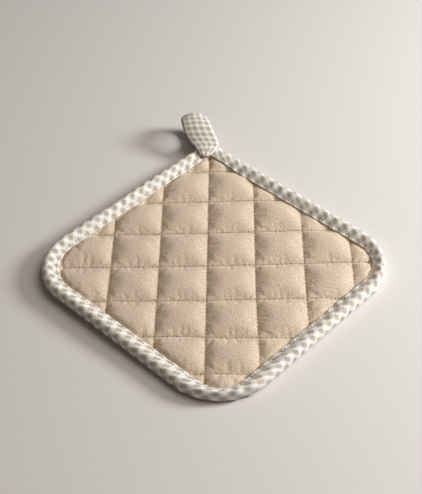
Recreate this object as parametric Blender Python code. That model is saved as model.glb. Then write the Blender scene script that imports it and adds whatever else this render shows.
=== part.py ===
"""A square quilted pot holder with a gingham edge binding and a hanging loop on one corner.

Units are metres. +Z is up, +Y points from the pad to its loop and +X to the right, so the square
stands on a corner in plan. The origin is on the surface that the pad lies on, under the middle of
the whole footprint.

Each layer is a closed solid of its own. All layers share one triangulation of the pad's plan, so
they nest with a gap between them wherever the quilting squeezes them.
"""

import math
from collections import defaultdict

import bmesh
import bpy
from mathutils import Vector
from mathutils.geometry import delaunay_2d_cdt

MM = 0.001
GAP = 0.3 * MM  # room between pieces that touch on the real object

# Outline of the square
BINDING_WIDTH = 12 * MM  # finished width of the binding on each face
HALF_INNER = 88 * MM  # pad centre to the binding's folded edge
HALF_CUT = 97.5 * MM  # pad centre to the layers' cut edge, inside the binding
CORNER_ANGLES = {"loop": 90, "left": 180, "near": 270, "right": 360}
INNER_RADII = {"loop": 2 * MM, "left": 29.5 * MM, "near": 20.5 * MM, "right": 25.5 * MM}
RADIUS_GROWTH = {"loop": 0.3, "left": 1.0, "near": 1.95, "right": 1.55}
ARC_STEPS = {"loop": 2, "left": 8, "near": 10, "right": 8}

# Quilting: square cells whose seams run corner to corner
CELL = 34.8 * MM
UP_TURN = math.radians(-2.6)  # the seams towards the loop are sewn slightly askew
ACROSS_TURN = math.radians(-0.3)  # and so are those across, by less
QUILT_ORIGIN = Vector((-5.2 * MM, 0.4 * MM))  # crossing of the two seams nearest the centre
SEAMS_UP = range(-2, 4)  # seams towards the loop, counted from the origin along +X
SEAMS_ACROSS = range(-3, 4)  # seams across, counted from the origin along +Y
FLAT_SHARE = 1 / 3  # the middle third of a cell is flat on top and underneath
EDGE_RING = 86 * MM  # where the puffs end and the layers dip under the binding
PUFF_FADE = 12 * MM  # the puffs get lower over this distance before the binding
EDGE_PUFF = 0.45  # share of the full puff left beside the binding

# Height of each layer's underside and top: at a cell's middle, at a seam and inside the binding
LAYERS = {
    "back_cover": ((0.0, 0.5), (1.8, 2.2), (2.2, 2.6)),
    "back_wadding": ((0.8, 3.0), (2.5, 2.9), (2.9, 3.5)),
    "heat_barrier": ((3.3, 4.3), (3.2, 3.6), (3.8, 4.4)),
    "front_wadding": ((4.6, 8.5), (3.9, 4.3), (4.7, 5.8)),
    "front_cover": ((8.8, 9.4), (4.6, 5.1), (6.1, 6.6)),
}
FRONT_SEAM = 5.1 * MM
BACK_SEAM = 1.8 * MM

# Threads
THREAD = 0.5 * MM
THREAD_STEP = THREAD + GAP  # the second family of seams passes over the first
THREAD_END = 0.8 * MM  # bare length left between a seam's thread and the binding's dip

# Binding section: (distance outside the folded edge, height), in millimetres, round the outside
# from the front fold to the back fold, then round the pocket that holds the layers
BINDING_OUTSIDE = (
    (0, 7.5), (2.6, 7.6), (4.5, 8.6), (7, 8.9), (9.5, 8.1), (11.4, 6.4),
    (12, 4.4), (11.4, 2.4), (9.5, 0.8), (7, 0), (4.5, 0.2), (2.6, 1.1), (0, 1.2),
)
BINDING_POCKET = ((0, 1.9), (9.9, 1.9), (9.9, 6.9), (0, 6.9))
BINDING_JOINT = 0.6 * MM  # slit between the tape's two ends, at the loop corner
BINDING_SEAM_IN = 1.4 * MM  # binding stitching to the folded edge
BINDING_SEAM_FRONT = 8.15 * MM  # height of its needle thread
BINDING_SEAM_BACK = 0.5 * MM  # height of its bobbin thread

# Hanging loop: a strap bent into a ring in an upright plane
LOOP_ROOT = Vector((-1.0 * MM, 129.2 * MM, 0))  # in pad coordinates, where the strap bends
LOOP_TURN = math.radians(20)  # the ring leans to the left of +Y in plan
LOOP_THICKNESS = 1.6 * MM
# (distance from the root, height, strap width), in millimetres, out along the lower strand, round
# the far bend and back along the upper strand
LOOP_PATH = (
    (0.0, 10.2, 8.5), (5.0, 10.3, 10.5), (11.0, 9.9, 13.0), (18.0, 8.2, 15.0), (25.0, 6.9, 16.0),
    (30.5, 7.8, 16.5), (34.0, 11.0, 16.5), (34.0, 15.4, 17.0), (30.5, 19.4, 17.5),
    (25.0, 21.6, 18.0), (19.0, 21.4, 17.5), (13.0, 19.0, 16.0), (7.0, 15.4, 13.0),
    (2.8, 13.0, 10.5), (0.0, 12.3, 8.5),
)
LOOP_STITCH_IN = 1.6 * MM  # edge stitching to the strap's left edge
SEWN_END = Vector((-0.3 * MM, 123.2 * MM, 9.35 * MM))  # middle of its underside, pad coordinates
SEWN_END_SIZE = Vector((8.5 * MM, 7.6 * MM, 2.8 * MM))
TACK_SIZE = Vector((7.0 * MM, 2.0 * MM, 0.7 * MM))

# The origin is under the middle of the footprint, whose far end is the loop's
LOOP_REACH = 164.75 * MM
NEAR_RADIUS = INNER_RADII["near"] + RADIUS_GROWTH["near"] * BINDING_WIDTH
NEAR_REACH = (HALF_INNER + BINDING_WIDTH - NEAR_RADIUS) * math.sqrt(2) + NEAR_RADIUS
PAD_SHIFT = Vector((0, (NEAR_REACH - LOOP_REACH) / 2, 0))

BEIGE = (0.60, 0.47, 0.33)
GINGHAM = (0.76, 0.71, 0.64)
COTTON = (0.85, 0.81, 0.72)
SILVER = (0.55, 0.56, 0.58)
TAN_THREAD = (0.50, 0.38, 0.26)
WHITE_THREAD = (0.84, 0.81, 0.76)


def clear_scene():
    for old in list(bpy.data.objects):
        bpy.data.objects.remove(old, do_unlink=True)


def new_collection(name):
    made = bpy.data.collections.new(name)
    bpy.context.scene.collection.children.link(made)
    return made


def material(name, colour, roughness, metallic=0.0):
    made = bpy.data.materials.new(name)
    made.use_nodes = True
    shader = made.node_tree.nodes["Principled BSDF"]
    shader.inputs["Base Color"].default_value = (*colour, 1)
    shader.inputs["Roughness"].default_value = roughness
    shader.inputs["Metallic"].default_value = metallic
    return made


def finish_node(name, bm, finish):
    """Makes the bmesh, which is in pad coordinates, an object of the part's collection."""
    bmesh.ops.recalc_face_normals(bm, faces=bm.faces)
    mesh = bpy.data.meshes.new(name)
    bm.to_mesh(mesh)
    bm.free()
    node = bpy.data.objects.new(name, mesh)
    node.location = PAD_SHIFT
    mesh.materials.append(material(name, *finish))
    parts.objects.link(node)
    return node


def smoothstep(value):
    t = min(max(value, 0.0), 1.0)
    return t * t * (3 - 2 * t)


# The square's outline


def outline_radius(corner, half_side):
    return INNER_RADII[corner] + RADIUS_GROWTH[corner] * (half_side - HALF_INNER)


def outline_point(corner, degrees, half_side):
    """Point of the outline at half_side where its outward normal points at this angle."""
    radius = outline_radius(corner, half_side)
    diagonal = math.radians(CORNER_ANGLES[corner])
    centre = (half_side - radius) * math.sqrt(2)
    angle = math.radians(degrees)
    return Vector((
        centre * math.cos(diagonal) + radius * math.cos(angle),
        centre * math.sin(diagonal) + radius * math.sin(angle),
    ))


def outline_stations():
    """(corner, normal angle) pairs, anticlockwise from the loop corner's tip back to it."""
    found = []
    for corner, middle in CORNER_ANGLES.items():
        steps = ARC_STEPS[corner]
        angles = [middle - 45 + 90 * k / steps for k in range(steps + 1)]
        found += [(corner, angle) for angle in angles]
    tip = ARC_STEPS["loop"] // 2
    return found[tip:] + found[: tip + 1]


def outline(half_side):
    """The closed outline's points, each once."""
    return [outline_point(*station, half_side) for station in outline_stations()[:-1]]


def half_side_at(point):
    """The half side of the outline that passes through a point of the plan."""
    low, high = 0.0, 2 * HALF_INNER
    for _ in range(40):
        middle = (low + high) / 2
        if outside(point, middle):
            low = middle
        else:
            high = middle
    return high


def outside(point, half_side):
    """True if the point lies outside the outline of that half side."""
    along = Vector((point.x + point.y, point.y - point.x)) / math.sqrt(2)
    names = {(True, True): "loop", (False, True): "left", (False, False): "near",
             (True, False): "right"}
    radius = max(outline_radius(names[along.x > 0, along.y > 0], half_side), 0)
    beyond = Vector((abs(along.x), abs(along.y))) - Vector((half_side - radius,) * 2)
    if min(beyond) > 0:
        return beyond.length > radius
    return max(beyond) > radius


# The quilting


ALONG_ACROSS = Vector((math.cos(ACROSS_TURN), math.sin(ACROSS_TURN)))
ALONG_UP = Vector((-math.sin(UP_TURN), math.cos(UP_TURN)))


def quilt_point(i, j):
    """Point of the plan at i cells to the right and j cells up from the quilting's origin."""
    return QUILT_ORIGIN + CELL * (i * ALONG_ACROSS + j * ALONG_UP)


def quilt_place(point):
    """(i, j) of a point of the plan, in cells."""
    d = (point - QUILT_ORIGIN) / CELL
    area = ALONG_ACROSS.cross(ALONG_UP)
    return d.cross(ALONG_UP) / area, ALONG_ACROSS.cross(d) / area


def across_cell(place):
    """0 on a seam, 1 over the middle third of a cell."""
    share = place - math.floor(place)
    return smoothstep(min(share, 1 - share) / FLAT_SHARE)


def on_seam(place):
    return abs(place - round(place)) < 1e-4


def seam_end(i, j, di, dj):
    """Where a seam that leaves the crossing (i, j) along (di, dj) meets the edge ring."""
    low, high = 0.0, 8.0
    for _ in range(40):
        middle = (low + high) / 2
        if outside(quilt_point(i + di * middle, j + dj * middle), EDGE_RING):
            high = middle
        else:
            low = middle
    return quilt_point(i + di * low, j + dj * low)


def seam_lines():
    """{seam name: its two ends on the edge ring}."""
    lines = {}
    for number, i in enumerate(SEAMS_UP, 1):
        lines[f"up_{number}"] = (seam_end(i, 0, 0, -1), seam_end(i, 0, 0, 1))
    for number, j in enumerate(SEAMS_ACROSS, 1):
        lines[f"across_{number}"] = (seam_end(0, j, -1, 0), seam_end(0, j, 1, 0))
    return lines


def plan_triangles():
    """(points, triangles) of the whole plan. The seams and the outlines are edges of it."""
    points, edges = [], []

    def add_chain(chain, closed=False):
        first = len(points)
        points.extend(chain)
        count = len(chain)
        edges.extend((first + k, first + k + 1) for k in range(count - 1))
        if closed:
            edges.append((first + count - 1, first))

    seams = seam_lines()
    ends = [end for pair in seams.values() for end in pair]
    ring = []
    for point in outline(EDGE_RING):
        if min((point - end).length for end in ends) > 3 * MM:
            ring.append(point)
    ring = sorted(ring + ends, key=lambda p: math.atan2(p.y, p.x))
    add_chain(outline(HALF_CUT), closed=True)
    cut_edge = list(range(len(points)))
    add_chain(outline(HALF_INNER), closed=True)
    add_chain(ring, closed=True)
    for name, (start, end) in seams.items():
        places = [quilt_place(p) for p in (start, end)]
        k = 1 if name.startswith("up") else 0
        low, high = sorted(place[k] for place in places)
        fixed = round(places[0][1 - k])
        thirds = range(math.ceil(low * 3 + 0.3), math.floor(high * 3 - 0.3) + 1)
        steps = [t / 3 for t in thirds]
        inner = [quilt_point(fixed, t) if k else quilt_point(t, fixed) for t in steps]
        first, last = (start, end) if places[0][k] < places[1][k] else (end, start)
        add_chain([first, *inner, last])
    for a in range(-12, 16):
        for b in range(-12, 13):
            if a % 3 and b % 3:
                point = quilt_point(a / 3, b / 3)
                if not outside(point, EDGE_RING - 4 * MM):
                    points.append(point)
    made = delaunay_2d_cdt(points, edges, [cut_edge], 1, 1e-6, False)
    return made[0], made[2]


def layer_heights(name, point):
    """(underside, top) of a layer over a point of the plan."""
    middle, seam, binding = LAYERS[name]
    half_side = half_side_at(point)
    if half_side > HALF_INNER - 0.5 * MM:
        return binding[0] * MM, binding[1] * MM
    i, j = quilt_place(point)
    near_binding = smoothstep((half_side - EDGE_RING + PUFF_FADE) / PUFF_FADE)
    puff = across_cell(i) * across_cell(j) * (1 - (1 - EDGE_PUFF) * near_binding)
    low, high = (s + (m - s) * puff for m, s in zip(middle, seam))
    shift = 0.0
    if on_seam(j) and not on_seam(i):
        shift = {"front_cover": THREAD_STEP, "back_cover": -THREAD_STEP}.get(name, 0.0)
    return low * MM + shift, high * MM + shift


def make_layer(name, finish):
    points, triangles = PLAN
    heights = [layer_heights(name, point) for point in points]
    bm = bmesh.new()
    lower = [bm.verts.new((p.x, p.y, low)) for p, (low, _) in zip(points, heights)]
    for triangle in triangles:
        bm.faces.new([lower[k] for k in triangle])
    bm.verts.index_update()
    raised = bmesh.ops.extrude_face_region(bm, geom=bm.faces[:], use_keep_orig=True)
    top_at = {(round(p.x, 7), round(p.y, 7)): top for p, (_, top) in zip(points, heights)}
    for vert in (v for v in raised["geom"] if isinstance(v, bmesh.types.BMVert)):
        vert.co.z = top_at[round(vert.co.x, 7), round(vert.co.y, 7)]
    return finish_node(name, bm, finish)


# Threads


def tube(name, points, diameter, finish, closed=False, sides=1):
    """A thread along the points, in pad coordinates, as a mesh."""
    curve = bpy.data.curves.new(name, "CURVE")
    curve.dimensions = "3D"
    curve.bevel_depth = diameter / 2
    curve.bevel_resolution = sides
    curve.use_fill_caps = not closed
    spline = curve.splines.new("POLY")
    spline.points.add(len(points) - 1)
    for spot, point in zip(spline.points, points):
        spot.co = (*point, 1)
    spline.use_cyclic_u = closed
    node = bpy.data.objects.new(name, curve)
    node.location = PAD_SHIFT
    curve.materials.append(material(name, *finish))
    parts.objects.link(node)
    return node


def quilting_threads():
    """Each quilting seam's needle thread on the front and bobbin thread on the back."""
    for name, (start, end) in seam_lines().items():
        along = (end - start).normalized() * THREAD_END
        over = THREAD_STEP if name.startswith("across") else 0.0
        clear = GAP + THREAD / 2 + over
        for side, height in (("front", FRONT_SEAM + clear), ("back", BACK_SEAM - clear)):
            ends = [(*(start + along), height), (*(end - along), height)]
            tube(f"quilting_thread_{side}_{name}", ends, THREAD, (TAN_THREAD, 0.75))


def binding_threads():
    """The seam that holds the binding: one thread on each face, open at the loop corner."""
    stations = outline_stations()
    line = [outline_point(*s, HALF_INNER + BINDING_SEAM_IN) for s in stations[1:-1]]
    heights = {"front": BINDING_SEAM_FRONT, "back": BINDING_SEAM_BACK}
    for side, height in heights.items():
        points = [(p.x, p.y, height) for p in line]
        tube(f"binding_thread_{side}", points, THREAD, (WHITE_THREAD, 0.7))


# Lofted pieces


def loft(name, rings, finish):
    """A closed solid through the rings of points, with both ends capped."""
    bm = bmesh.new()
    made = [[bm.verts.new(point) for point in ring] for ring in rings]
    count = len(rings[0])
    for ring, following in zip(made, made[1:]):
        for k in range(count):
            after = (k + 1) % count
            bm.faces.new((ring[k], ring[after], following[after], following[k]))
    bm.faces.new(made[0])
    bm.faces.new(made[-1])
    return finish_node(name, bm, finish)


def make_binding(finish):
    section = BINDING_OUTSIDE + BINDING_POCKET
    stations = outline_stations()
    rings = []
    for number, station in enumerate(stations):
        ring = []
        for out, height in section:
            plan = outline_point(*station, HALF_INNER + out * MM)
            if number == 0:
                plan.x -= BINDING_JOINT / 2
            elif number == len(stations) - 1:
                plan.x += BINDING_JOINT / 2
            ring.append((plan.x, plan.y, height * MM))
        rings.append(ring)
    return loft("edge_binding", rings, finish)


def loop_frames():
    """(point, upward normal, sideways direction, width) along the loop's strap."""
    ahead = Vector((-math.sin(LOOP_TURN), math.cos(LOOP_TURN), 0))
    side = Vector((math.cos(LOOP_TURN), math.sin(LOOP_TURN), 0))
    middle = [LOOP_ROOT + ahead * d * MM + Vector((0, 0, z * MM)) for d, z, _ in LOOP_PATH]
    frames = []
    for k, point in enumerate(middle):
        before = middle[max(k - 1, 0)]
        after = middle[min(k + 1, len(middle) - 1)]
        normal = side.cross((after - before).normalized())
        frames.append((point, normal, side, LOOP_PATH[k][2] * MM))
    return frames


def make_loop(finish):
    rings = []
    for point, normal, side, width in loop_frames():
        up, across = normal * LOOP_THICKNESS / 2, side * width / 2
        rings.append([point + across + up, point - across + up,
                      point - across - up, point + across - up])
    return loft("hanging_loop", rings, finish)


def make_loop_thread():
    """Stitching near the strap's left edge, on the outside of the ring."""
    lift = LOOP_THICKNESS / 2 + GAP + THREAD / 2
    points = []
    for point, normal, side, width in loop_frames()[1:-1]:
        points.append(point - side * (width / 2 - LOOP_STITCH_IN) - normal * lift)
    return tube("loop_edge_thread", points, THREAD, (WHITE_THREAD, 0.7))


def block(name, base, size, finish):
    """A box that stands on its base point."""
    bm = bmesh.new()
    bmesh.ops.create_cube(bm, size=1)
    bmesh.ops.scale(bm, vec=size, verts=bm.verts)
    bmesh.ops.translate(bm, vec=base + Vector((0, 0, size.z / 2)), verts=bm.verts)
    return finish_node(name, bm, finish)


clear_scene()
parts = new_collection("quilted_pot_holder")
PLAN = plan_triangles()
make_layer("back_cover", (BEIGE, 0.9))
make_layer("back_wadding", (COTTON, 0.95))
make_layer("heat_barrier", (SILVER, 0.5))
make_layer("front_wadding", (COTTON, 0.95))
make_layer("front_cover", (BEIGE, 0.9))
make_binding((GINGHAM, 0.85))
quilting_threads()
binding_threads()
block("loop_sewn_end", SEWN_END, SEWN_END_SIZE, (GINGHAM, 0.85))
TACK_BASE = SEWN_END + Vector((0, 0, SEWN_END_SIZE.z + GAP))
block("loop_bartack", TACK_BASE, TACK_SIZE, (WHITE_THREAD, 0.7))
make_loop((GINGHAM, 0.85))
make_loop_thread()
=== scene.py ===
"""Looks of the quilted pot holder: covers swelled by cloth simulation, single stitches, a folded
gingham tape round the edge and a folded tape loop, on a pale floor in soft light.

Shapes are worked out in pad coordinates: millimetres from the pad's centre, with +Y towards the
loop's corner, and moved to the row frame when each mesh is made.
"""

import math

import bpy
import numpy as np
from mathutils import Matrix, Vector, noise


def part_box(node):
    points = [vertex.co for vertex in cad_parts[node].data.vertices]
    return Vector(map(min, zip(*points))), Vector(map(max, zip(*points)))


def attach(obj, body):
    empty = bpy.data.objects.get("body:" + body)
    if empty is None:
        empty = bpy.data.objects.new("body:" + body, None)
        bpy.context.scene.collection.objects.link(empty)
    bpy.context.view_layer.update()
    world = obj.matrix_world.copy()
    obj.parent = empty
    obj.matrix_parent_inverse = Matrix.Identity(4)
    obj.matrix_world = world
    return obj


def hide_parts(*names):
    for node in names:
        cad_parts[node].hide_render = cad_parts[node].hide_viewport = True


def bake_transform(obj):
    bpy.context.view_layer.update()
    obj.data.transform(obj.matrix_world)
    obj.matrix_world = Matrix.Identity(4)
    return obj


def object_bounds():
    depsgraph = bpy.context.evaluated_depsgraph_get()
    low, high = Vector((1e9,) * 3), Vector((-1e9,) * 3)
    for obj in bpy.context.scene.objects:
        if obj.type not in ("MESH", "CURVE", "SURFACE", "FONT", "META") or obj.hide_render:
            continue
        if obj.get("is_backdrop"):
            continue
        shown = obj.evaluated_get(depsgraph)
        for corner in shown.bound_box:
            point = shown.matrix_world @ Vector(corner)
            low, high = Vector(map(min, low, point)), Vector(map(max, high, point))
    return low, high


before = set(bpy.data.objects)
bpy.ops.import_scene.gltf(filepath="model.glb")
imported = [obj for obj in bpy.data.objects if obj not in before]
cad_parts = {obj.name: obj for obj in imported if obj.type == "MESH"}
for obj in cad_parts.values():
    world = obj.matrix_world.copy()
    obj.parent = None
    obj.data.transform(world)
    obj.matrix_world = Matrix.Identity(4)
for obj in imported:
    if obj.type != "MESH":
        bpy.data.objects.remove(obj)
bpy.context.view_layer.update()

MM = 0.001

# Driving sizes, as in the CAD model
HALF_SIDE = 100.0
BINDING_WIDTH = 12.0
HALF_INNER = HALF_SIDE - BINDING_WIDTH
CORNER_ANGLES = {"loop": 90, "left": 180, "near": 270, "right": 360}
INNER_RADII = {"loop": 2.0, "left": 29.5, "near": 20.5, "right": 25.5}
RADIUS_GROWTH = {"loop": 0.3, "left": 1.0, "near": 1.95, "right": 1.55}
CELL = 34.8
QUILT_ORIGIN = (-5.2, 0.4)
UP_TURN = math.radians(-2.6)
ACROSS_TURN = math.radians(-0.3)
SEAMS_UP = range(-2, 4)
SEAMS_ACROSS = range(-3, 4)
CELLS_OUT = 4  # how many cells the quilting's plan reaches each way
SEAM_END = 86.8  # half side at which the seams' stitches stop, beside the binding

# The pad's centre in the row frame, from the binding's box and the near corner's reach
NEAR_RADIUS = INNER_RADII["near"] + RADIUS_GROWTH["near"] * BINDING_WIDTH
NEAR_REACH = (HALF_SIDE - NEAR_RADIUS) * math.sqrt(2) + NEAR_RADIUS
PAD_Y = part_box("edge_binding")[0].y / MM + NEAR_REACH

# Cloth
COVER_THICKNESS = 0.6
TAPE_THICKNESS = 0.45
COVER_REACH = 95.5  # half side of the covers' cut edge, inside the binding
INNER_REACH = 94.2  # half side of the layers between the covers
FLANGE_FROM = 88.0  # half side beyond which the binding holds the layers flat
FRONT_STEPS = 30  # grid steps in a quilted cell of the simulated front
BACK_STEPS = 12  # and of the back
TABLE_GAP = 0.02  # between the back cover and the table
SIM_SCALE = 0.012  # simulation units in a millimetre

# How the pad lies: its rim is turned up on the left, and the binding's folded edge sinks between
# the roll and the puffs, more so on the right
RIM_LIFT = 2.1
FOLD_SINK = 1.5
FOLD_SINK_TURN = 0.85

# Stitches
QUILT_PITCH = CELL / 10.5
BINDING_PITCH = 3.1
LOOP_PITCH = 2.9
STITCH_GAP = 0.7  # between the ends of two stitches
THREAD_RADIUS = 0.24


def to_row(points):
    """Pad coordinates in millimetres to row frame metres."""
    return (np.asarray(points, float) + (0, PAD_Y, 0)) * MM


def smoothstep(value):
    t = np.clip(value, 0, 1)
    return t * t * (3 - 2 * t)


def settled(points):
    """Pad coordinates of the pad as it lies, from those of the pad as it was sewn."""
    p = np.array(points, float)
    x, y, z = p.T
    h = half_side_at(x, y)
    # The lift grows towards the left corner, and across the binding
    lift = smoothstep((0.3 * y - x - 10) / 75) * np.clip((h - 86) / 10, 0, 1)
    # The sink fades towards the loop's corner, into the puffs and across the roll
    sink = (FOLD_SINK + FOLD_SINK_TURN * np.tanh(x / 40)) * (1 - smoothstep((y - 100) / 22))
    sink *= smoothstep((h - 76) / 10) * (1 - smoothstep((h - 88.5) / 9.5))
    p[:, 2] += RIM_LIFT * lift - sink * np.clip((z - 1.5) / 6, 0, 1)
    p[:, 2] = np.maximum(p[:, 2], 0)
    return p


def noise_at(points, scale, seed):
    """Smooth noise from about -1 to 1, with features of about `scale`, at each point."""
    found = [noise.noise(Vector(p) / scale + Vector((seed, 0, 0))) for p in points]
    return np.array(found)


# Meshes


def mesh_object(name, points, faces, material, marks=None, settle=True):
    """A mesh of pad coordinates. marks is a point attribute for its material: (name, vectors)."""
    mesh = bpy.data.meshes.new(name)
    if settle:
        points = settled(points)
    mesh.from_pydata(to_row(points).tolist(), [], [list(map(int, f)) for f in faces])
    mesh.polygons.foreach_set("use_smooth", [True] * len(mesh.polygons))
    if marks:
        attribute = mesh.attributes.new(marks[0], "FLOAT_VECTOR", "POINT")
        attribute.data.foreach_set("vector", np.asarray(marks[1], np.float32).ravel())
    mesh.materials.append(material)
    made = bpy.data.objects.new(name, mesh)
    bpy.context.scene.collection.objects.link(made)
    return made


def closed_solid(outer, inner, quads):
    """Points and faces of the solid between two surfaces with the same quads."""
    count = len(outer)
    edges = np.concatenate([quads[:, [k, (k + 1) % 4]] for k in range(4)])
    known = set(map(tuple, edges.tolist()))
    rim = [(a, b) for a, b in edges.tolist() if (b, a) not in known]
    sides = [(b, a, a + count, b + count) for a, b in rim]
    faces = quads.tolist() + (quads[:, ::-1] + count).tolist() + sides
    return np.concatenate((outer, inner)), faces


def point_normals(points, quads):
    a, b, c, d = (points[quads[:, k]] for k in range(4))
    flat = np.cross(c - a, d - b)
    normals = np.zeros_like(points)
    for k in range(4):
        np.add.at(normals, quads[:, k], flat)
    return normals / np.linalg.norm(normals, axis=1, keepdims=True)


def grid_quads(rows, columns):
    index = np.arange(rows * columns).reshape(rows, columns)
    corners = (index[:-1, :-1], index[1:, :-1], index[1:, 1:], index[:-1, 1:])
    return np.stack(corners, -1).reshape(-1, 4)


def ribbon(name, grid, marks, thickness, material, settle=True):
    """A cloth strip along a (rows, columns, 3) grid of points, as a thin closed solid."""
    points = grid.reshape(-1, 3)
    quads = grid_quads(*grid.shape[:2])
    lift = point_normals(points, quads) * thickness / 2
    solid = closed_solid(points + lift, points - lift, quads)
    both = np.concatenate((marks.reshape(-1, 3),) * 2)
    return mesh_object(name, *solid, material, ("tape", both), settle)


def lengths_along(points):
    """Distance of each point from the first, along the polyline."""
    steps = np.linalg.norm(np.diff(points, axis=0), axis=1)
    return np.concatenate(([0], np.cumsum(steps)))


def resampled(points, spacing):
    """Points at even spacing on the smooth curve through these points."""
    p = np.asarray(points, float)
    ends = np.concatenate((2 * p[:1] - p[1:2], p, 2 * p[-1:] - p[-2:-1]))
    steps = 12
    u = np.linspace(0, 1, steps, endpoint=False)[:, None]
    dense = []
    for a, b, c, d in zip(ends, ends[1:], ends[2:], ends[3:]):
        bend = (2 * b) + (c - a) * u + (2 * a - 5 * b + 4 * c - d) * u**2
        dense.append((bend + (3 * b - a - 3 * c + d) * u**3) / 2)
    dense = np.concatenate((*dense, p[-1:]))
    along = lengths_along(dense)
    targets = np.linspace(0, along[-1], round(along[-1] / spacing) + 1)
    return np.stack([np.interp(targets, along, column) for column in dense.T], -1)


# The square's outline


def corner_radius(corner, half_side):
    return INNER_RADII[corner] + RADIUS_GROWTH[corner] * (half_side - HALF_INNER)


def outline_point(corner, degrees, half_side):
    """Point of the outline at half_side where its outward normal points at this angle."""
    radius = corner_radius(corner, half_side)
    diagonal, angle = math.radians(CORNER_ANGLES[corner]), math.radians(degrees)
    reach = (half_side - radius) * math.sqrt(2)
    x = reach * math.cos(diagonal) + radius * math.cos(angle)
    y = reach * math.sin(diagonal) + radius * math.sin(angle)
    return np.array((x, y))


def outline_stations(spacing):
    """(from, to, share) triples, anticlockwise from the loop corner's tip back to it, where from
    and to are (corner, angle) pairs and share is how far the station is from one to the other."""
    found = []
    corners = list(CORNER_ANGLES)
    for number, corner in enumerate(corners):
        middle = CORNER_ANGLES[corner]
        steps = max(8, round(corner_radius(corner, HALF_SIDE) * math.pi / 2 / spacing / 2) * 2)
        for k in range(steps + 1):
            place = (corner, middle - 45 + 90 * k / steps)
            found.append((place, place, 0.0))
        following = corners[(number + 1) % 4]
        start = (corner, middle + 45)
        end = (following, CORNER_ANGLES[following] - 45)
        gap = outline_point(*start, HALF_SIDE) - outline_point(*end, HALF_SIDE)
        count = round(np.linalg.norm(gap) / spacing)
        found += [(start, end, k / count) for k in range(1, count)]
    tip = next(k for k, (place, _, _) in enumerate(found) if place == ("loop", 90))
    return found[tip:] + found[: tip + 1]


def outline(stations, half_side):
    """(count, 2) points of the outline at half_side, one for each station."""
    first = np.array([outline_point(*a, half_side) for a, _, _ in stations])
    last = np.array([outline_point(*b, half_side) for _, b, _ in stations])
    share = np.array([s for _, _, s in stations])[:, None]
    return first + (last - first) * share


def half_side_at(x, y):
    """The half side of the outline that passes through each point."""
    u, v = (x + y) / math.sqrt(2), (y - x) / math.sqrt(2)
    low, high = np.zeros_like(u), np.full_like(u, 2 * HALF_SIDE)
    halvings = 30
    for _ in range(halvings):
        middle = (low + high) / 2
        radius = np.zeros_like(middle)
        for corner, right, far in (("loop", 1, 1), ("left", 0, 1), ("near", 0, 0), ("right", 1, 0)):
            chosen = ((u > 0) == bool(right)) & ((v > 0) == bool(far))
            radius = np.where(chosen, np.maximum(corner_radius(corner, middle), 0), radius)
        across, along = np.abs(u) - middle + radius, np.abs(v) - middle + radius
        round_part = np.hypot(np.maximum(across, 0), np.maximum(along, 0))
        outside = round_part + np.minimum(np.maximum(across, along), 0) > radius
        low, high = np.where(outside, middle, low), np.where(outside, high, middle)
    return high


# The quilting's plan


def quilt_plan(i, j):
    """Plan point i cells to the right and j cells up, on seams that bow slightly."""
    x = QUILT_ORIGIN[0] + CELL * (i * math.cos(ACROSS_TURN) - j * math.sin(UP_TURN))
    y = QUILT_ORIGIN[1] + CELL * (i * math.sin(ACROSS_TURN) + j * math.cos(UP_TURN))
    bow = 0.12 * i * i + 0.25 * i * j + 0.27 * j * j - 0.8
    # The seams wander a little towards the near and right corners
    drift = 0.25 * np.clip(i, 0, 1) * np.clip(j, -3, 0) ** 2 + 0.6 * np.clip(i - 1, 0, 1)
    sag = 2.0 * smoothstep(i + 0.5) * np.exp(-(((j + 2) / 0.6) ** 2))
    return x + drift, y + bow - sag


def quilt_grid(steps, reach):
    """The quilting's grid inside the outline of half side reach, as a dict of flat arrays: i and
    j in cells, x, y, the half side h, and the quads between them."""
    ticks = np.arange(-CELLS_OUT * steps, CELLS_OUT * steps + 1)
    row, column = np.meshgrid(ticks, ticks, indexing="ij")
    i, j = row / steps, column / steps
    x, y = quilt_plan(i, j)
    h = half_side_at(x, y)
    quads = grid_quads(*i.shape)
    quads = quads[(h.ravel()[quads] < reach).all(1)]
    used, quads = np.unique(quads, return_inverse=True)
    found = {"i": i, "j": j, "x": x, "y": y, "h": h}
    found = {key: value.ravel()[used] for key, value in found.items()}
    found["quads"] = quads.reshape(-1, 4)
    return found


def to_seam(grid):
    """Distance from each grid point to the nearest seam."""
    i, j = grid["i"], grid["j"]
    off_up = np.abs(i - np.clip(np.round(i), SEAMS_UP[0], SEAMS_UP[-1]))
    return np.minimum(off_up, np.abs(j - np.round(j))) * CELL


# The covers


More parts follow.
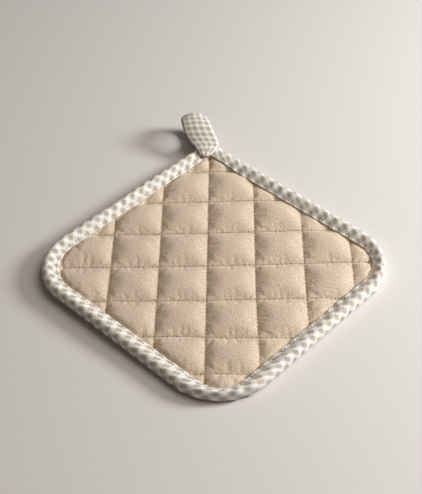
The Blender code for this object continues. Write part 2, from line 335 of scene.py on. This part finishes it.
def swell(points, quads, pinned, pressure, slack, frames=20):
    """Cloth simulation of a sheet that is held at its pinned points."""
    mesh = bpy.data.meshes.new("sim")
    mesh.from_pydata((points * SIM_SCALE).tolist(), [], quads.tolist())
    sheet = bpy.data.objects.new("sim", mesh)
    scene = bpy.context.scene
    scene.collection.objects.link(sheet)
    group = sheet.vertex_groups.new(name="pin")
    group.add(np.nonzero(pinned)[0].tolist(), 1.0, "REPLACE")
    cloth = sheet.modifiers.new("cloth", "CLOTH")
    settings = cloth.settings
    settings.quality = 6
    settings.mass = 0.3
    settings.tension_stiffness = settings.compression_stiffness = 15
    settings.shear_stiffness = 6
    settings.bending_stiffness = 0.5
    settings.use_pressure = True
    settings.uniform_pressure_force = pressure
    settings.vertex_group_mass = "pin"
    settings.shrink_min = settings.shrink_max = -slack
    settings.effector_weights.gravity = 0
    cloth.collision_settings.use_collision = False
    cloth.point_cache.frame_start, cloth.point_cache.frame_end = 1, frames
    scene.frame_start, scene.frame_end = 1, frames
    for number in range(1, frames + 1):
        scene.frame_set(number)
    shown = sheet.evaluated_get(bpy.context.evaluated_depsgraph_get()).data
    found = np.zeros(len(points) * 3, np.float32)
    shown.vertices.foreach_get("co", found)
    bpy.data.objects.remove(sheet)
    scene.frame_set(1)
    return found.reshape(-1, 3).astype(float) / SIM_SCALE


def cover_shape(steps, seam, flange, puff, pressure, slack, crowd):
    """(grid, points) of one cover's outer face. Heights are outward: up for the front. crowd is
    how far the puffs beside the binding are pushed up."""
    grid = quilt_grid(steps, COVER_REACH)
    away = to_seam(grid)
    z = seam + puff * np.minimum(1, away / 6)
    z += (flange - z) * smoothstep((grid["h"] - 86.6) / 1.6)
    points = np.stack((grid["x"], grid["y"], z), -1)
    pinned = (away < 1e-6) | (grid["h"] > FLANGE_FROM)
    points = swell(points, grid["quads"], pinned, pressure, slack)
    # The puffs stand up against the binding
    beside = smoothstep((88.3 - grid["h"]) / 1.9) * (1 - smoothstep((85.6 - grid["h"]) / 9))
    points[:, 2] += beside * smoothstep(away / 5) * crowd
    return grid, points


def cover(name, grid, points, outward, material):
    """A cover as a thin closed solid, from its outer face."""
    quads = grid["quads"] if outward > 0 else grid["quads"][:, ::-1]
    inner = points - point_normals(points, quads) * COVER_THICKNESS
    cloth = np.stack((grid["i"] * CELL, grid["j"] * CELL, grid["h"]), -1)
    solid = closed_solid(points, inner, quads)
    made = mesh_object(name, *solid, material, ("cloth", np.concatenate((cloth, cloth))))
    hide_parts(name.replace("_cloth", ""))
    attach(made, "pad")


# Stitches


def stitch_row(name, path, normals, pitch, material, start=0.0, radius=THREAD_RADIUS, settle=True):
    """Single stitches along a path. Each dips into the cloth at both ends."""
    along = lengths_along(path)
    count = int((along[-1] - start - pitch) // pitch) + 1
    rings, sides = 7, 6
    u = np.linspace(0, 1, rings)
    places = start + pitch * np.arange(count)[:, None] + STITCH_GAP / 2 + (pitch - STITCH_GAP) * u
    centres = np.stack([np.interp(places, along, column) for column in path.T], -1)
    up = np.stack([np.interp(places, along, column) for column in normals.T], -1)
    up /= np.linalg.norm(up, axis=2, keepdims=True)
    height = 0.16 - 0.62 * np.abs(2 * u - 1) ** 3
    centres = centres + up * height[:, None]
    ahead = np.gradient(centres, axis=1)
    side = np.cross(ahead, up)
    side /= np.linalg.norm(side, axis=2, keepdims=True)
    over = np.cross(side, ahead)
    over /= np.linalg.norm(over, axis=2, keepdims=True)
    thick = radius * np.where((u == 0) | (u == 1), 0.55, 1.0)[:, None, None]
    turn = 2 * math.pi * np.arange(sides)[:, None] / sides
    round_it = over[:, :, None] * np.cos(turn) + side[:, :, None] * np.sin(turn)
    points = centres[:, :, None] + thick * round_it
    faces = []
    for first in range(0, count * rings * sides, rings * sides):
        for r in range(rings - 1):
            a = first + r * sides
            faces += [
                (a + k, a + (k + 1) % sides, a + sides + (k + 1) % sides, a + sides + k)
                for k in range(sides)
            ]
        last = first + (rings - 1) * sides
        faces.append(tuple(range(first + sides - 1, first - 1, -1)))
        faces.append(tuple(range(last, last + sides)))
    return mesh_object(name, points.reshape(-1, 3), faces, material, None, settle)


def quilting(side, heights_at, outward, material):
    """A row of stitches for each seam of one face."""
    for family, seams in (("up", SEAMS_UP), ("across", SEAMS_ACROSS)):
        for number, seam in enumerate(seams, 1):
            run = np.arange(-CELLS_OUT * CELL, CELLS_OUT * CELL, 0.5) / CELL
            fixed = np.full_like(run, seam)
            x, y = quilt_plan(fixed, run) if family == "up" else quilt_plan(run, fixed)
            inside = np.nonzero(half_side_at(x, y) < SEAM_END)[0]
            first = math.ceil(run[inside[0]] * CELL / QUILT_PITCH) * QUILT_PITCH
            kept = (run * CELL >= first - 1e-9) & (np.arange(len(run)) <= inside[-1])
            start = (first - run[kept][0] * CELL) % QUILT_PITCH
            path = np.stack((x[kept], y[kept], np.full(kept.sum(), heights_at)), -1)
            normals = np.tile((0.0, 0.0, outward), (len(path), 1))
            name = f"{side}_{family}_{number}"
            row = stitch_row(f"stitches_{name}", path, normals, QUILT_PITCH, material, start)
            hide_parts(f"quilting_thread_{name}")
            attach(row, "pad")


# Inner layers


def slab(name, grid, low, high, material, node):
    """A padded layer between two heights."""
    plan = np.stack((grid["x"], grid["y"]), -1)
    upper = np.column_stack((plan, high))
    lower = np.column_stack((plan, low))
    made = mesh_object(name, *closed_solid(upper, lower, grid["quads"]), material)
    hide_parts(node)
    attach(made, "pad")


def layer_height(grid, middle, seam, flange):
    """A surface's height: at a cell's middle, at a seam and inside the binding."""
    i, j = grid["i"], grid["j"]
    puff = smoothstep(np.abs(i - np.round(i)) * 3) * smoothstep(np.abs(j - np.round(j)) * 3)
    z = seam + (middle - seam) * puff
    return z + (flange - z) * smoothstep((grid["h"] - 82) / 5)


def cell_keys(grid, steps):
    """(i, j) of each grid point in whole steps."""
    return zip(*(np.round(grid[axis] * steps).astype(int) for axis in ("i", "j")))


def at_points(grid, fine, steps, values):
    """The fine grid's values at the points of a coarser one. steps are the fine grid's."""
    known = dict(zip(cell_keys(fine, steps), values))
    return np.array([known[key] for key in cell_keys(grid, steps)])


# The edge binding

# Midline of the tape's section: (distance outside the folded edge, height), from the raw edge
# turned in at the front, round the outside, to the raw edge turned in at the back
BINDING_SECTION = (
    (7.6, 7.1), (4.5, 7.06), (1.9, 7.04), (0.6, 7.06), (0.02, 7.32), (0.25, 7.72), (0.9, 7.88),
    (1.65, 7.58), (2.5, 8.0), (4.2, 8.65), (6.4, 9.0), (8.6, 8.9), (10.4, 8.15), (11.5, 6.7),
    (11.92, 4.7), (11.5, 2.7), (10.4, 1.3), (8.6, 0.5), (6.4, 0.25), (4.2, 0.3), (2.4, 0.75),
    (1.5, 1.05), (1.0, 0.8), (0.4, 0.9), (0.12, 1.35), (0.6, 1.72), (1.9, 1.8), (4.5, 1.8),
    (7.6, 1.75),
)
STITCH_LINE = 1.65  # from the folded edge to the stitching
RIPPLE = 10.2  # length of a drag ripple in the tape
CHECK = 6.4  # repeat of the gingham along either yarn
CHECK_START = 0.5  # moves the checks along the tape


def binding(material, thread):
    """The tape round the edge, and its stitching on both faces."""
    stations = outline_stations(1.5)
    section = resampled(BINDING_SECTION, 0.8)
    across = lengths_along(section)
    grid = np.zeros((len(stations), len(section), 3))
    for k, (out, height) in enumerate(section):
        grid[:, k, :2] = outline(stations, HALF_INNER + out)
        grid[:, k, 2] = height
    grid[0, :, 0] -= 0.08
    grid[-1, :, 0] += 0.08
    along = lengths_along(outline(stations, HALF_INNER + 7))
    stitched = lengths_along(outline(stations, HALF_INNER + STITCH_LINE))
    out, height = section.T
    s, t = np.meshgrid(along, across, indexing="ij")
    # Ripples on the roll, faded at the tape's two ends and on the turned-in edges
    middle = across[-1] / 2
    roll = smoothstep((17.5 - np.abs(across - middle)) / 4)[None]
    ends = smoothstep(np.minimum(s, along[-1] - s) / 6)
    plan = np.stack((s.ravel(), t.ravel(), np.zeros(s.size)), -1)
    wander = noise_at(plan * (1, 0.3, 1), 23.0, 3.1).reshape(s.shape)
    crease = noise_at(plan * (1, 0.6, 1), 4.2, 7.7).reshape(s.shape)
    strength = 0.7 + 0.6 * noise_at(plan * (1, 0, 1), 31.0, 9.4).reshape(s.shape)
    slant = (t - middle) / 26
    wave = np.sin(2 * math.pi * (s / RIPPLE + slant) + 2.2 * wander)
    push = roll * ends * (0.36 * strength * wave + 0.16 * crease)
    # Stitches pull the fold down, and the bead rises between them
    pulled = np.cos(2 * math.pi * stitched / BINDING_PITCH)[:, None]
    seam = np.exp(-(((out - STITCH_LINE) / 0.8) ** 2)) * (np.abs(across - middle) < 21)
    push -= seam[None] * (0.08 + 0.14 * pulled)
    quads = grid_quads(*grid.shape[:2])
    normals = point_normals(grid.reshape(-1, 3), quads).reshape(grid.shape)
    grid = grid + normals * push[..., None]
    grid[..., 2] = np.maximum(grid[..., 2], TAPE_THICKNESS / 2)
    # A row of dark checks follows the stitching
    groove = across[np.argmin(np.abs(out - STITCH_LINE) + (height < 7.3) * 9)]
    marks = np.stack((s + CHECK_START, t - groove, np.repeat(stitched[:, None], len(out), 1)), -1)
    tape = ribbon("edge_binding_tape", grid, marks, TAPE_THICKNESS, material)
    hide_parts("edge_binding")
    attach(tape, "pad")
    # The stitches, on the tape's outer faces
    for side, outward in (("front", 1.0), ("back", -1.0)):
        half = slice(0, len(across) // 2) if side == "front" else slice(len(across) // 2, None)
        outer = np.abs(across - middle) < 19.5
        near = np.where(outer, np.abs(out - STITCH_LINE), 99.0)[half]
        column = int(np.argmin(near)) + (half.start or 0)
        path = grid[2:-2, column] + (0, 0, outward * TAPE_THICKNESS / 2)
        if side == "back":
            path[:, 2] = np.maximum(path[:, 2], 0.3)
        lift = np.tile((0.0, 0.0, outward), (len(path), 1))
        first = (-stitched[2]) % BINDING_PITCH
        row = stitch_row(f"stitches_binding_{side}", path, lift, BINDING_PITCH, thread, first)
        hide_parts(f"binding_thread_{side}")
        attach(row, "pad")


# The hanging loop

LOOP_LEAN = math.radians(22)
LOOP_SIDE = math.radians(-6)
LOOP_ROLL = math.radians(4)  # how far the strap tips up on its right
LOOP_ARCH = (1.0, 2.4)  # rise of the strap's middle over its edges, and how much more at the crown
LOOP_ROOT = (-1.6, 130.5)
# (distance from the root, height, sideways offset, width), from the lower strand's sewn end, out,
# round the far bend and back to the upper strand's sewn end. Before the root it runs towards
# the pad's centre.
LOOP_PATH = (
    (-8.5, 9.6, -0.2, 6.0), (-5.0, 9.8, -0.4, 8.5), (-1.0, 9.9, -0.6, 11.0), (4.0, 8.8, -0.8, 14.0),
    (11.0, 6.0, 0.6, 16.5), (18.0, 3.8, 2.2, 18.5), (26.0, 3.0, 3.2, 19.4), (33.0, 3.9, 4.3, 20.0),
    (38.0, 6.3, 4.9, 20.2), (40.4, 9.4, 4.9, 20.2), (39.8, 12.0, 4.8, 20.0), (37.3, 14.4, 4.2, 19.8),
    (33.5, 16.7, 2.9, 19.8), (28.5, 18.9, 1.4, 20.0), (22.5, 20.4, 0.0, 20.5), (17.0, 20.1, -1.2, 21.0),
    (11.5, 18.4, -2.0, 21.8), (6.5, 15.7, -1.8, 22.0), (2.0, 13.4, -1.2, 20.4), (-1.5, 12.3, -0.4, 17.0),
    (-4.8, 11.6, 0.3, 13.0), (-8.5, 10.8, 0.4, 8.6), (-11.5, 10.1, 0.5, 4.0),
)
LOOP_CHECK = 5.3  # repeat of the loop's gingham, which runs straight along it
STRAP_PITCH = 0.42  # between two of the strap's four layers
STRAP_TAPE = 0.36  # thickness of a layer
STRAP_HALF_WIDTH = 10.8  # half the finished width that the flat tape is worked out for
STRAP_SEAM_IN = 2.3  # from the strap's edge to its stitching
LOOP_CHECK_START = 40.0  # moves the checks across the strap


def strap_section(count=26):
    """(sideways share, height) along the tape's folded section: inner front, outer front, outer
    back and inner back, with the two turned-in edges together on the left."""
    line = np.linspace(-1, 1, count)
    inner = np.linspace(0.72, -0.95, count)
    front = np.stack((inner, np.full(count, STRAP_PITCH / 2)), -1)
    fold = np.array(((-1.0, STRAP_PITCH * 1.0),))
    outer = np.stack((line * 0.99, np.full(count, STRAP_PITCH * 1.5)), -1)
    half = np.concatenate((front, fold, outer))
    edge = np.array(((1.045, STRAP_PITCH * 0.9), (1.06, 0.0), (1.045, -STRAP_PITCH * 0.9)))
    return np.concatenate((half, edge, half[::-1] * (1, -1)))


def strap(material, thread):
    """The loop's folded strap and the stitching along its edge."""
    path = resampled(LOOP_PATH, 0.9)
    d, z, offset, width = path.T
    lean = np.array((-math.sin(LOOP_LEAN), math.cos(LOOP_LEAN)))
    sewn = np.array((0.22, 1.0))
    plan = np.where(d[:, None] > 0, d[:, None] * lean, d[:, None] * sewn)
    turn = LOOP_SIDE * smoothstep((d + 6) / 12)
    roll = LOOP_ROLL * smoothstep((d - 2) / 14)
    side = np.stack((np.cos(turn) * np.cos(roll), np.sin(turn) * np.cos(roll), np.sin(roll)), -1)
    centre = np.column_stack((np.array(LOOP_ROOT) + plan, z)) + side * offset[:, None]
    ahead = np.gradient(centre, axis=0)
    # The normals point into the ring
    normal = np.cross(side, ahead)
    normal /= np.linalg.norm(normal, axis=1, keepdims=True)
    section = strap_section()
    share, height = section.T
    rows, columns = len(path), len(section)
    across = share[None] * width[:, None] / 2
    # The strap is fullest along its middle, is pulled in by its edge stitching, and bunches into
    # pleats where it narrows at the root
    bunched = smoothstep((16 - width) / 8)[:, None]
    crown = (LOOP_ARCH[0] + LOOP_ARCH[1] * smoothstep((d - 22) / 13)) * smoothstep((z - 8) / 6)
    arch = crown[:, None] * (1 - share**2)[None]
    full = 0.28 * (1 - share**2)[None] * np.sign(height)[None]
    from_seam = across + width[:, None] / 2 - STRAP_SEAM_IN
    stitch = np.exp(-((from_seam / 0.7) ** 2)) * np.sign(height)[None]
    pleats = np.cos(share * 2.6 * math.pi + 0.8)[None] * 0.28 * bunched
    lift = height[None] - arch + full * (np.abs(height) > STRAP_PITCH) - 0.1 * stitch + pleats
    grid = centre[:, None] + side[:, None] * across[..., None] + normal[:, None] * lift[..., None]
    along = lengths_along(centre)
    s = np.repeat(along[:, None], columns, 1)
    flat_across = lengths_along(np.stack((share * STRAP_HALF_WIDTH, height), -1))
    t = np.repeat(flat_across[None], rows, 0) + LOOP_CHECK_START
    scale = CHECK / LOOP_CHECK * math.sqrt(0.5)
    # Half a stitch from the binding's needle holes, so that the strap shows none of their painted shade
    unpierced = np.full_like(s, BINDING_PITCH / 2)
    marks = np.stack(((s + t) * scale, (s - t) * scale, unpierced), -1)
    made = ribbon("loop_tape", grid, marks, STRAP_TAPE, material, settle=False)
    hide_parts("hanging_loop", "loop_sewn_end")
    pieces = [made]
    for name, sign in (("stitches_loop_inside", 1), ("stitches_loop_outside", -1)):
        place = width / 2 - STRAP_SEAM_IN
        height_here = sign * (STRAP_PITCH * 1.5 + 0.18) - crown * (1 - (place / width * 2) ** 2)
        row_path = centre - side * place[:, None] + normal * height_here[:, None]
        row = stitch_row(name, row_path[6:-6], normal[6:-6] * sign, LOOP_PITCH, thread, 0.4, 0.2, False)
        pieces.append(row)
    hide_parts("loop_edge_thread")
    for piece in pieces:
        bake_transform(piece)


TACK_TOP = 12.5
TACK_HALF = (2.9, 0.9)  # half length and half width of the bar
TACK_STITCHES = 11
TACK_PITCH = 1.95


def tack(thread):
    """The bar of close stitches that holds the loop's ends on the corner."""
    low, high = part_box("loop_bartack")
    centre = (np.array((low + high) / 2) / MM) - (0, PAD_Y, 0)
    x = np.linspace(-TACK_HALF[0], TACK_HALF[0], TACK_STITCHES)
    y = np.where(np.arange(TACK_STITCHES) % 2, TACK_HALF[1], -TACK_HALF[1])
    top = np.full(TACK_STITCHES, TACK_TOP)
    path = resampled(np.stack((x + centre[0], y + centre[1], top), -1), 0.3)
    normals = np.tile((0.0, 0.0, 1.0), (len(path), 1))
    row = stitch_row("stitches_loop_tack", path, normals, TACK_PITCH, thread, settle=False)
    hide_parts("loop_bartack")
    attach(row, "pad")


# Materials


COVER_LIGHT = (0.85, 0.715, 0.57)
COVER_DARK = (0.45, 0.355, 0.26)
COVER_CLOUD = (0.64, 0.515, 0.38)
# Painted shade for the valleys along the cover's seams
SEAM_PAINTED_SHADE = (0.33, 0.235, 0.145)
# Painted shade for the needle holes along the cover's seams
COVER_HOLE_PAINTED_SHADE = (0.13, 0.085, 0.05)
TAPE_WHITE = (0.95, 0.945, 0.935)
TAPE_TAN = (0.49, 0.425, 0.342)
TAPE_FIBRE = (0.55, 0.48, 0.40)
# Painted shade for the needle holes beside the binding's stitches
TAPE_HOLE_PAINTED_SHADE = (0.2, 0.15, 0.11)
FLOOR_SHADES = ((0.675, 0.668, 0.663), (0.69, 0.683, 0.678))


class Finish:
    """A node material, put together with short calls."""

    def __init__(self, name, roughness, **sockets):
        self.material = bpy.data.materials.new(name)
        self.material.use_nodes = True
        self.tree = self.material.node_tree
        self.shader = self.tree.nodes["Principled BSDF"]
        self.shader.inputs["Roughness"].default_value = roughness
        for socket, value in sockets.items():
            self.shader.inputs[socket.replace("_", " ")].default_value = value

    def put(self, socket, value):
        if isinstance(value, bpy.types.NodeSocket):
            self.tree.links.new(value, socket)
        else:
            socket.default_value = value

    def node(self, kind, inputs, output=0, **settings):
        made = self.tree.nodes.new(kind)
        for key, value in settings.items():
            setattr(made, key, value)
        for key, value in inputs.items():
            self.put(made.inputs[key], value)
        return made.outputs[output]

    def math(self, operation, *values):
        return self.node("ShaderNodeMath", dict(enumerate(values)), operation=operation)

    def attribute(self, name):
        vector = self.node("ShaderNodeAttribute", {}, "Vector", attribute_name=name)
        split = self.tree.nodes.new("ShaderNodeSeparateXYZ")
        self.tree.links.new(vector, split.inputs[0])
        return split.outputs

    def vector(self, x, y):
        return self.node("ShaderNodeCombineXYZ", {0: x, 1: y})

    def noise(self, vector, scale, detail=2.0, roughness=0.5):
        inputs = {"Vector": vector, "Scale": scale, "Detail": detail, "Roughness": roughness}
        return self.node("ShaderNodeTexNoise", inputs)

    def between(self, value, low, high, to_low=0.0, to_high=1.0):
        inputs = {0: value, 1: low, 2: high, 3: to_low, 4: to_high}
        return self.node("ShaderNodeMapRange", inputs, interpolation_type="SMOOTHSTEP")

    def mix(self, share, a, b):
        a, b = ((*c, 1) if isinstance(c, tuple) else c for c in (a, b))
        return self.node("ShaderNodeMix", {0: share, 6: a, 7: b}, 2, data_type="RGBA")

    def bump(self, height, distance, strength, normal=None):
        inputs = {"Height": height, "Distance": distance, "Strength": strength}
        if normal:
            inputs["Normal"] = normal
        return self.node("ShaderNodeBump", inputs)

    def to_nearest(self, value, period):
        """Distance from value to the nearest multiple of period."""
        share = self.math("DIVIDE", value, period)
        off = self.math("ABSOLUTE", self.math("SUBTRACT", share, self.math("ROUND", share)))
        return self.math("MULTIPLY", off, period)

    def done(self, colour, normal=None):
        self.put(self.shader.inputs["Base Color"], colour)
        if normal:
            self.put(self.shader.inputs["Normal"], normal)
        return self.material


def cover_finish():
    """Brushed cotton twill: fine slanting ribs under a nap of short flecks."""
    f = Finish("cover_cotton", 0.92, Sheen_Weight=0.12, Sheen_Roughness=0.5)
    x, y, _ = f.attribute("cloth")
    cloth = f.vector(x, y)
    over = f.math("SUBTRACT", f.math("MULTIPLY", x, 0.93), f.math("MULTIPLY", y, 0.37))
    along = f.math("ADD", f.math("MULTIPLY", x, 0.37), f.math("MULTIPLY", y, 0.93))
    wobble = f.noise(cloth, 0.3, 3.0)
    ribs = f.math("SINE", f.math("ADD", f.math("MULTIPLY", over, 4.6), f.math("MULTIPLY", wobble, 9.0)))
    nap_place = f.vector(f.math("MULTIPLY", over, 1.5), f.math("MULTIPLY", along, 0.8))
    flecks = f.noise(nap_place, 1.0, 3.0, 0.6)
    flecks = f.between(flecks, 0.25, 0.75)
    cloudy = f.noise(cloth, 0.06, 3.0, 0.55)
    patchy = f.between(f.noise(cloth, 0.16, 2.0), 0.35, 0.65)
    ribs = f.math("MULTIPLY", ribs, f.math("MULTIPLY", patchy, 0.22))
    nap = f.math("ADD", ribs, flecks)
    colour = f.mix(f.between(nap, -0.1, 1.1), COVER_DARK, COVER_LIGHT)
    colour = f.mix(f.between(cloudy, 0.35, 0.65, 0.0, 0.3), colour, COVER_CLOUD)
    off_up, off_across = f.to_nearest(x, CELL), f.to_nearest(y, CELL)
    off_up = f.math("MAXIMUM", off_up, f.math("SUBTRACT", (SEAMS_UP[0] - 0.5) * CELL, x))
    # Painted shade in the seams' valleys: the cover darkens within about 1.5 mm of each seam, more along
    # the up seams
    painted_shade_up = f.between(off_up, 0.2, 1.6, 0.6, 0.0)
    painted_shade_across = f.between(off_across, 0.2, 1.4, 0.3, 0.0)
    colour = f.mix(f.math("MAXIMUM", painted_shade_up, painted_shade_across), colour, SEAM_PAINTED_SHADE)
    # Painted shade in the needle holes: dark dots between the stitches along each seam, of uneven depth
    hole_shade_up = f.math("POWER", f.to_nearest(y, QUILT_PITCH), 2.0)
    hole_shade_across = f.math("POWER", f.to_nearest(x, QUILT_PITCH), 2.0)
    hole_shade_up = f.math("ADD", f.math("POWER", off_up, 2.0), hole_shade_up)
    hole_shade_across = f.math("ADD", f.math("POWER", off_across, 2.0), hole_shade_across)
    uneven = f.noise(cloth, 0.45, 1.0)
    depth_up = f.between(uneven, 0.3, 0.6, 0.6, 1.0)
    depth_across = f.between(uneven, 0.35, 0.6, 0.2, 0.9)
    hole_shade_up = f.math("MULTIPLY", f.between(hole_shade_up, 0.15, 0.85, 1.0, 0.0), depth_up)
    hole_shade_across = f.math("MULTIPLY", f.between(hole_shade_across, 0.12, 0.7, 1.0, 0.0), depth_across)
    colour = f.mix(f.math("MAXIMUM", hole_shade_up, hole_shade_across), colour, COVER_HOLE_PAINTED_SHADE)
    beside = f.between(f.math("MINIMUM", off_up, off_across), 0.5, 7.0, 1.0, 0.25)
    puckers = f.math("MULTIPLY", f.noise(cloth, 0.3, 2.0), beside)
    height = f.math("ADD", f.math("MULTIPLY", ribs, 1.2), f.math("MULTIPLY", flecks, 1.3))
    normal = f.bump(puckers, 0.0012, 0.7)
    return f.done(colour, f.bump(height, 0.0002, 0.8, normal))


def tape_finish():
    """Gingham of white and tan yarns, crossing at 45 degrees to the binding's edge."""
    f = Finish("gingham_tape", 0.85, Sheen_Weight=0.1, Sheen_Roughness=0.5)
    s, t, stitched = f.attribute("tape")
    root = math.sqrt(0.5)
    warp = f.math("MULTIPLY", f.math("ADD", s, t), root)
    weft = f.math("MULTIPLY", f.math("SUBTRACT", s, t), root)
    stripes = []
    for yarn in (warp, weft):
        off = f.to_nearest(yarn, CHECK)
        stripes.append(f.between(off, 1.45, 2.05, 1.0, 0.0))
    both = f.math("MULTIPLY", f.math("ADD", *stripes), 0.5)
    fibre = f.noise(f.vector(warp, weft), 2.2, 2.0)
    colour = f.mix(f.math("POWER", both, 1.25), TAPE_WHITE, TAPE_TAN)
    colour = f.mix(f.between(fibre, 0.3, 0.7, 0.0, 0.1), colour, TAPE_FIBRE)
    # Painted shade in the needle holes between the stitches along the folded edge
    tape_hole_shade = f.math("POWER", f.to_nearest(stitched, BINDING_PITCH), 2.0)
    tape_hole_shade = f.math("ADD", tape_hole_shade, f.math("POWER", t, 2.0))
    colour = f.mix(f.between(tape_hole_shade, 0.15, 0.7, 0.75, 0.0), colour, TAPE_HOLE_PAINTED_SHADE)
    over = f.math("SINE", f.math("MULTIPLY", warp, 9.0))
    under = f.math("SINE", f.math("MULTIPLY", weft, 9.0))
    weave = f.math("ADD", f.math("MULTIPLY", over, under), f.math("MULTIPLY", fibre, 1.2))
    return f.done(colour, f.bump(weave, 0.00008, 0.6))


def thread_finish(name, colour):
    """Spun thread, with its twist and painted shade in the twist's grooves."""
    f = Finish(name, 0.75, Sheen_Weight=0.1)
    place = f.node("ShaderNodeTexCoord", {}, "Object")
    twist = f.node("ShaderNodeTexWave", {"Vector": place, "Scale": 900.0, "Distortion": 1.0}, 1)
    # Painted shade: the twist's grooves get a darker copy of the thread's colour
    painted_twist_shade = tuple(c * 0.72 for c in colour)
    return f.done(f.mix(twist, painted_twist_shade, colour), f.bump(twist, 0.00005, 0.5))


def felt_finish(name, light, dark, roughness=0.95, metallic=0.0):
    """Matted fibres, for the layers inside."""
    f = Finish(name, roughness, Metallic=metallic)
    place = f.node("ShaderNodeTexCoord", {}, "Object")
    fibres = f.noise(place, 700.0, 6.0, 0.65)
    return f.done(f.mix(fibres, dark, light), f.bump(fibres, 0.0003, 0.7))


def floor_finish():
    f = Finish("floor", 0.75)
    place = f.node("ShaderNodeTexCoord", {}, "Object")
    return f.done(f.mix(f.noise(place, 1.3), *FLOOR_SHADES))


# Stage

LENS = 84.8
CAMERA_FROM = (-1.72, 43.1)  # azimuth and elevation, in degrees
CAMERA_ROLL = math.radians(-0.21)
CAMERA_TARGET = (-2.0, 25.0, 0)  # pad coordinates
CAMERA_DISTANCE = 0.862
WORLD_COLOUR = (1.0, 0.88, 0.72, 1)
WORLD_STRENGTH = 0.095
FLOOR_SIZE = 8


def look_matrix(back, roll):
    """Rotation of a camera that looks against back, rolled by this angle."""
    right = Vector((0, 0, 1)).cross(back).normalized()
    up = back.cross(right)
    x = right * math.cos(roll) + up * math.sin(roll)
    y = up * math.cos(roll) - right * math.sin(roll)
    return Matrix((x, y, back)).transposed()


def from_angles(azimuth, elevation):
    """Unit vector towards a viewer: azimuth 0 is on the -Y side and 90 on the +X side."""
    a, e = math.radians(azimuth), math.radians(elevation)
    return Vector((math.sin(a) * math.cos(e), -math.cos(a) * math.cos(e), math.sin(e)))


def make_camera():
    data = bpy.data.cameras.new("camera")
    data.sensor_width = 36
    data.lens = LENS
    camera = bpy.data.objects.new("camera", data)
    bpy.context.scene.collection.objects.link(camera)
    back = from_angles(*CAMERA_FROM)
    target = Vector(to_row(CAMERA_TARGET))
    rotation = look_matrix(back, CAMERA_ROLL).to_4x4()
    camera.matrix_world = Matrix.Translation(target + back * CAMERA_DISTANCE) @ rotation
    bpy.context.scene.camera = camera


def area_light(name, size, energy, colour, back, distance):
    """A round light that faces the pad's centre, from the direction back."""
    data = bpy.data.lights.new(name, "AREA")
    data.shape = "DISK"
    data.size = size
    data.energy = energy
    data.color = colour
    light = bpy.data.objects.new(name, data)
    bpy.context.scene.collection.objects.link(light)
    centre = Vector(to_row((0, 0, 0)))
    place = Matrix.Translation(centre + back * distance)
    light.matrix_world = place @ look_matrix(back, 0).to_4x4()


def make_light():
    """A low window on the right, a broad soft light above it and a little light from all round."""
    low, high = from_angles(97, 26), from_angles(97, 60)
    area_light("window", size=0.36, energy=15.6, colour=(0.98, 0.985, 1.0), back=low, distance=1.2)
    area_light("fill", size=1.1, energy=8.9, colour=(1.0, 0.90, 0.79), back=high, distance=1.3)
    world = bpy.data.worlds.new("world")
    world.use_nodes = True
    background = world.node_tree.nodes["Background"]
    background.inputs["Color"].default_value = WORLD_COLOUR
    background.inputs["Strength"].default_value = WORLD_STRENGTH
    bpy.context.scene.world = world
    bpy.context.scene.view_settings.view_transform = "Standard"


def make_floor():
    bpy.ops.mesh.primitive_plane_add(size=FLOOR_SIZE)
    floor = bpy.context.object
    floor.name = "floor"
    floor.data.materials.append(floor_finish())
    floor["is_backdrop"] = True


make_camera()
make_light()
make_floor()

cotton = cover_finish()
tape = tape_finish()
quilt_thread = thread_finish("quilting_thread", (0.46, 0.365, 0.26))
binding_thread = thread_finish("binding_thread", (0.86, 0.84, 0.81))
wadding = felt_finish("cotton_wadding", (0.88, 0.84, 0.76), (0.70, 0.65, 0.56))
felt = felt_finish("barrier_felt", (0.62, 0.63, 0.65), (0.42, 0.43, 0.45), 0.5, 0.6)

front_grid, front = cover_shape(
    FRONT_STEPS, seam=4.9, flange=6.6, puff=0.8, pressure=4.0, slack=0.04, crowd=1.0
)
back_grid, back = cover_shape(
    BACK_STEPS, seam=-1.9, flange=-2.3, puff=0.4, pressure=2.0, slack=0.01, crowd=0.0
)
back = back * (1, 1, -1)
back[:, 2] = np.maximum(back[:, 2], TABLE_GAP)

inner_grid = quilt_grid(BACK_STEPS, INNER_REACH)
front_top = at_points(inner_grid, front_grid, FRONT_STEPS, front[:, 2])
back_low = at_points(inner_grid, back_grid, BACK_STEPS, back[:, 2])
# Each layer's lowest and highest surface
layers = {
    "front_wadding": (
        layer_height(inner_grid, middle=4.6, seam=3.8, flange=4.7),
        front_top - COVER_THICKNESS - 0.25,
    ),
    "heat_barrier": (
        layer_height(inner_grid, middle=3.3, seam=3.2, flange=3.8),
        layer_height(inner_grid, middle=4.3, seam=3.6, flange=4.4),
    ),
    "back_wadding": (
        back_low + COVER_THICKNESS + 0.2,
        layer_height(inner_grid, middle=3.0, seam=2.95, flange=3.5),
    ),
}
for name, (low, high) in layers.items():
    high = np.maximum(high, low + 0.15)
    material, slot = (felt, "barrier_felt") if name == "heat_barrier" else (wadding, "cotton_wadding")
    slab(f"{name}_fill", inner_grid, low, high, material, name)

cover("front_cover_cloth", front_grid, front, 1, cotton)
cover("back_cover_cloth", back_grid, back, -1, cotton)
quilting("front", heights_at=4.85, outward=1.0, material=quilt_thread)
quilting("back", heights_at=1.85, outward=-1.0, material=quilt_thread)
binding(tape, binding_thread)
strap(tape, binding_thread)
tack(binding_thread)

low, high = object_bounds()
